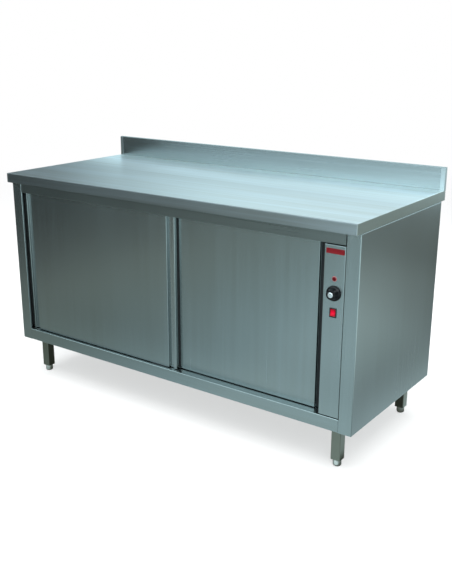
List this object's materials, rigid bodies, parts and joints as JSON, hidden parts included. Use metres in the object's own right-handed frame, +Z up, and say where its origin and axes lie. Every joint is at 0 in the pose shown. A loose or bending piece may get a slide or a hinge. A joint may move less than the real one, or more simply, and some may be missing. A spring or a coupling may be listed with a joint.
{
  "type": "plate warmer cabinet",
  "caption": "Long heated stainless cabinet on short square legs, with a worktop and splashback, overlapping sliding doors, an inner shelf and a control panel at the right.",
  "frame": {"origin": "on the floor plane, under the middle of the cabinet's outline", "axes": "+Z up, +X along the cabinet towards the control end, -Y towards the user"},
  "size_m": [1.6, 0.7, 0.965],
  "materials": {
    "stainless_outer": "satin, fine lengthwise brushing",
    "stainless_doors": "satin, fine brushing",
    "stainless_inner": "plain rolled, slightly dull",
    "stainless_legs": "satin, brushed along the tube",
    "feet_steel": "turned, bright",
    "hanger_steel": "zinc plated, dull",
    "fastener_steel": "zinc plated",
    "track_aluminium": "mill finish",
    "worktop_board": "raw chipboard",
    "mineral_wool": "matt, fibrous",
    "roller_nylon": "moulded, smooth",
    "black_nylon": "moulded, satin",
    "black_rubber": "matt",
    "knob_black": "moulded, glossy",
    "knob_silver": "spun, bright",
    "switch_black": "moulded, satin",
    "rocker_red": "translucent, lit from inside",
    "lamp_red": "translucent lens",
    "badge_red": "enamelled, with a bare face",
    "thermostat_grey": "moulded",
    "terminal_ivory": "moulded",
    "wire_brown": "insulated wire",
    "fan_black": "moulded",
    "heater_sheath": "dull heat-tinted sheath",
    "gland_black": "moulded"
  },
  "bodies": {
    "cabinet": {"worktop": "stainless_outer", "splashback": "stainless_outer", "left_side_panel": "stainless_outer", "right_side_panel": "stainless_outer", "back_panel": "stainless_outer", "bottom_beam": "stainless_outer", "top_rail": "stainless_outer", "control_panel": "stainless_outer", "base_pan": "stainless_inner", "cavity_floor": "stainless_inner", "cavity_liner": "stainless_inner", "cavity_ceiling": "stainless_inner", "partition": "stainless_inner", "shelf_supports": "stainless_inner", "air_grilles": "stainless_inner", "leg_front_left": "stainless_legs", "leg_front_right": "stainless_legs", "leg_rear_left": "stainless_legs", "leg_rear_right": "stainless_legs", "fasteners": "fastener_steel", "top_track": "track_aluminium", "worktop_board": "worktop_board", "insulation": "mineral_wool", "door_guide": "black_nylon", "foot_inserts": "black_nylon", "door_stops": "black_rubber", "switch_housing": "switch_black", "pilot_lamp": "lamp_red", "badge_plate": "badge_red", "thermostat": "thermostat_grey", "terminal_block": "terminal_ivory", "wiring": "wire_brown", "fan_frame": "fan_black", "heater_element": "heater_sheath", "cable_gland": "gland_black"},
    "left_door": {"left_door_skin": "stainless_doors", "left_door_back": "stainless_inner", "left_door_grips": "stainless_doors", "left_door_core": "mineral_wool", "left_door_hangers": "hanger_steel", "left_door_seal": "black_rubber"},
    "right_door": {"right_door_skin": "stainless_doors", "right_door_back": "stainless_inner", "right_door_grips": "stainless_doors", "right_door_core": "mineral_wool", "right_door_hangers": "hanger_steel"},
    "left_roller_a": {"left_door_roller_a": "roller_nylon"},
    "left_roller_b": {"left_door_roller_b": "roller_nylon"},
    "right_roller_a": {"right_door_roller_a": "roller_nylon"},
    "right_roller_b": {"right_door_roller_b": "roller_nylon"},
    "shelf": {"shelf": "stainless_inner"},
    "knob": {"control_knob": "knob_black", "knob_cap": "knob_silver", "thermostat_spindle": "hanger_steel"},
    "rocker": {"switch_rocker": "rocker_red"},
    "impeller": {"fan_impeller": "fan_black"},
    "foot_front_left": {"foot_front_left": "feet_steel"},
    "foot_front_right": {"foot_front_right": "feet_steel"},
    "foot_rear_left": {"foot_rear_left": "feet_steel"},
    "foot_rear_right": {"foot_rear_right": "feet_steel"}
  },
  "joints": [
    {"name": "left_door_slide", "type": "slide", "parent": "cabinet", "child": "left_door", "axis": [1, 0, 0], "range_m": [0, 0.62]},
    {"name": "right_door_slide", "type": "slide", "parent": "cabinet", "child": "right_door", "axis": [1, 0, 0], "range_m": [-0.57, 0]},
    {"name": "left_roller_a_spin", "type": "hinge", "parent": "left_door", "child": "left_roller_a", "pos_m": [-0.68, -0.297, 0.8273], "axis": [0, 1, 0], "range_deg": [0, 3230]},
    {"name": "left_roller_b_spin", "type": "hinge", "parent": "left_door", "child": "left_roller_b", "pos_m": [-0.022, -0.297, 0.8273], "axis": [0, 1, 0], "range_deg": [0, 3230]},
    {"name": "right_roller_a_spin", "type": "hinge", "parent": "right_door", "child": "right_roller_a", "pos_m": [-0.053, -0.277, 0.8273], "axis": [0, 1, 0], "range_deg": [-2970, 0]},
    {"name": "right_roller_b_spin", "type": "hinge", "parent": "right_door", "child": "right_roller_b", "pos_m": [0.605, -0.277, 0.8273], "axis": [0, 1, 0], "range_deg": [-2970, 0]},
    {"name": "shelf_lift", "type": "slide", "parent": "cabinet", "child": "shelf", "axis": [0, 0, 1], "range_m": [0, 0.05]},
    {"name": "knob_turn", "type": "hinge", "parent": "cabinet", "child": "knob", "pos_m": [0.712, -0.32, 0.638], "axis": [0, 1, 0], "range_deg": [-135, 135]},
    {"name": "rocker_tilt", "type": "hinge", "parent": "cabinet", "child": "rocker", "pos_m": [0.712, -0.318, 0.573], "axis": [1, 0, 0], "range_deg": [0, 20]},
    {"name": "fan_spin", "type": "hinge", "parent": "cabinet", "child": "impeller", "pos_m": [0.71, -0.02, 0.6], "axis": [1, 0, 0], "continuous": true},
    {"name": "foot_front_left_adjust", "type": "slide", "parent": "cabinet", "child": "foot_front_left", "axis": [0, 0, 1], "range_m": [-0.02, 0]},
    {"name": "foot_front_right_adjust", "type": "slide", "parent": "cabinet", "child": "foot_front_right", "axis": [0, 0, 1], "range_m": [-0.02, 0]},
    {"name": "foot_rear_left_adjust", "type": "slide", "parent": "cabinet", "child": "foot_rear_left", "axis": [0, 0, 1], "range_m": [-0.02, 0]},
    {"name": "foot_rear_right_adjust", "type": "slide", "parent": "cabinet", "child": "foot_rear_right", "axis": [0, 0, 1], "range_m": [-0.02, 0]}
  ],
  "couplings": [
    {"joint": "left_roller_a_spin", "follows": "left_door_slide", "rad_per_m": 90.909},
    {"joint": "left_roller_b_spin", "follows": "left_door_slide", "rad_per_m": 90.909},
    {"joint": "right_roller_a_spin", "follows": "right_door_slide", "rad_per_m": 90.909},
    {"joint": "right_roller_b_spin", "follows": "right_door_slide", "rad_per_m": 90.909}
  ]
}
